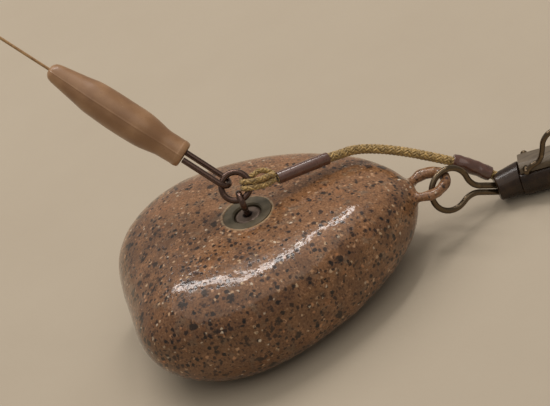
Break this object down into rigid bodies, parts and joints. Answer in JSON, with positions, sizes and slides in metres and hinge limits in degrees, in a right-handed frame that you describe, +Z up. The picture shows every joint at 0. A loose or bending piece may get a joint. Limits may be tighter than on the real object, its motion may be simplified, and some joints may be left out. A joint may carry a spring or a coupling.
{
  "type": "fishing_lead_with_swivel_rig",
  "caption": "Stone-coated fishing lead with a plug-in ring swivel, a rubber-sleeved hooklink and a braided tether that runs to a wire link and a dark line clip.",
  "frame": {"origin": "On the lead's flat underside, straight below the axis of the socket in its top face", "axes": "+X runs along the lead to its nose and on to the clip, +Z is up, and the picture is taken from the -Y side"},
  "size_m": [0.0888, 0.0499, 0.0618],
  "materials": {
    "lead_metal": "dull grey cast lead under the coating",
    "stone_coat": "glossy brown stone-look coating with black and cream specks",
    "bare_wire": "bare stainless wire and fitting",
    "bronze_wire": "dark bronze-black wire with bright highlights",
    "barrel_metal": "grey-brown swivel barrel with a low sheen",
    "socket_plastic": "dark grey-green moulded socket",
    "braid": "gold and olive braided line",
    "shrink_tube": "dark brown glossy shrink tube",
    "hooklink": "thin tan braided hooklink",
    "tan_rubber": "soft tan rubber with a low sheen",
    "link_wire": "dark bronze wire with bright highlights",
    "clip_plastic": "near-black brown satin plastic",
    "saddle_plastic": "grey-brown matte plastic"
  },
  "bodies": {
    "lead": {"lead_core": "lead_metal", "stone_coating": "stone_coat", "nose_loop": "bare_wire", "loop_coating": "stone_coat", "socket_sleeve": "socket_plastic"},
    "plug": {"upper_eye": "bronze_wire", "front_tube": "shrink_tube", "tether_front": "braid"},
    "barrel": {"swivel_barrel": "barrel_metal"},
    "lower_ring": {"lower_eye": "bronze_wire"},
    "ring": {"rig_ring": "bronze_wire", "tether_loop": "braid"},
    "link": {"quick_link": "bronze_wire"},
    "spinner": {"link_barrel": "barrel_metal"},
    "hooklink": {"hooklink_eye": "bronze_wire", "hooklink_knot": "hooklink", "hooklink_line": "hooklink", "hooklink_end_loop": "hooklink"},
    "sleeve": {"anti_tangle_sleeve": "tan_rubber"},
    "clip": {"lead_link": "link_wire", "front_collar": "clip_plastic", "clip_body": "clip_plastic", "clip_saddle": "saddle_plastic", "tail_cap": "clip_plastic", "tether_rear": "braid", "rear_tube": "shrink_tube"},
    "keeper": {"keeper_wire": "link_wire"},
    "tail": {"tail_eye": "bare_wire"}
  },
  "joints": [
    {"name": "plug_pull", "type": "slide", "parent": "lead", "child": "plug", "axis": [0, 0, 1], "range_m": [0, 0.006], "deforming": ["tether_front", "front_tube"]},
    {"name": "barrel_spin", "type": "hinge", "parent": "plug", "child": "barrel", "pos_m": [0, 0, 0.0123], "axis": [0, 0, 1], "continuous": true},
    {"name": "lower_eye_spin", "type": "hinge", "parent": "barrel", "child": "lower_ring", "pos_m": [0, 0, 0.009], "axis": [0, 0, 1], "continuous": true},
    {"name": "ring_swing", "type": "hinge", "parent": "plug", "child": "ring", "pos_m": [0, 0, 0.01804], "axis": [0.9369, 0.3376, -0.0913], "range_deg": [-10, 40]},
    {"name": "link_swing", "type": "hinge", "parent": "ring", "child": "link", "pos_m": [-0.0013, 0.00185, 0.02076], "axis": [-0.7314, -0.3843, -0.5634], "range_deg": [-20, 25]},
    {"name": "link_barrel_spin", "type": "hinge", "parent": "link", "child": "spinner", "pos_m": [-0.0013, 0.00185, 0.02076], "axis": [-0.5592, 0.4672, 0.6849], "continuous": true},
    {"name": "hooklink_spin", "type": "hinge", "parent": "spinner", "child": "hooklink", "pos_m": [-0.0013, 0.00185, 0.02076], "axis": [-0.5592, 0.4672, 0.6849], "continuous": true},
    {"name": "sleeve_slide", "type": "slide", "parent": "link", "child": "sleeve", "axis": [-0.5592, 0.4672, 0.6849], "range_m": [0, 0.012]},
    {"name": "clip_swing", "type": "hinge", "parent": "lead", "child": "clip", "pos_m": [0.02636, 0, 0.0083], "axis": [0, -1, 0], "range_deg": [-3, 60], "deforming": ["tether_rear", "rear_tube"]},
    {"name": "keeper_open", "type": "hinge", "parent": "clip", "child": "keeper", "pos_m": [0.03736, 0.00063, 0.00487], "axis": [-0.225, -0.9744, 0], "range_deg": [0, 60]},
    {"name": "tail_spin", "type": "hinge", "parent": "clip", "child": "tail", "pos_m": [0.05138, -0.0026, 0.00257], "axis": [0.9744, -0.225, 0], "continuous": true}
  ]
}
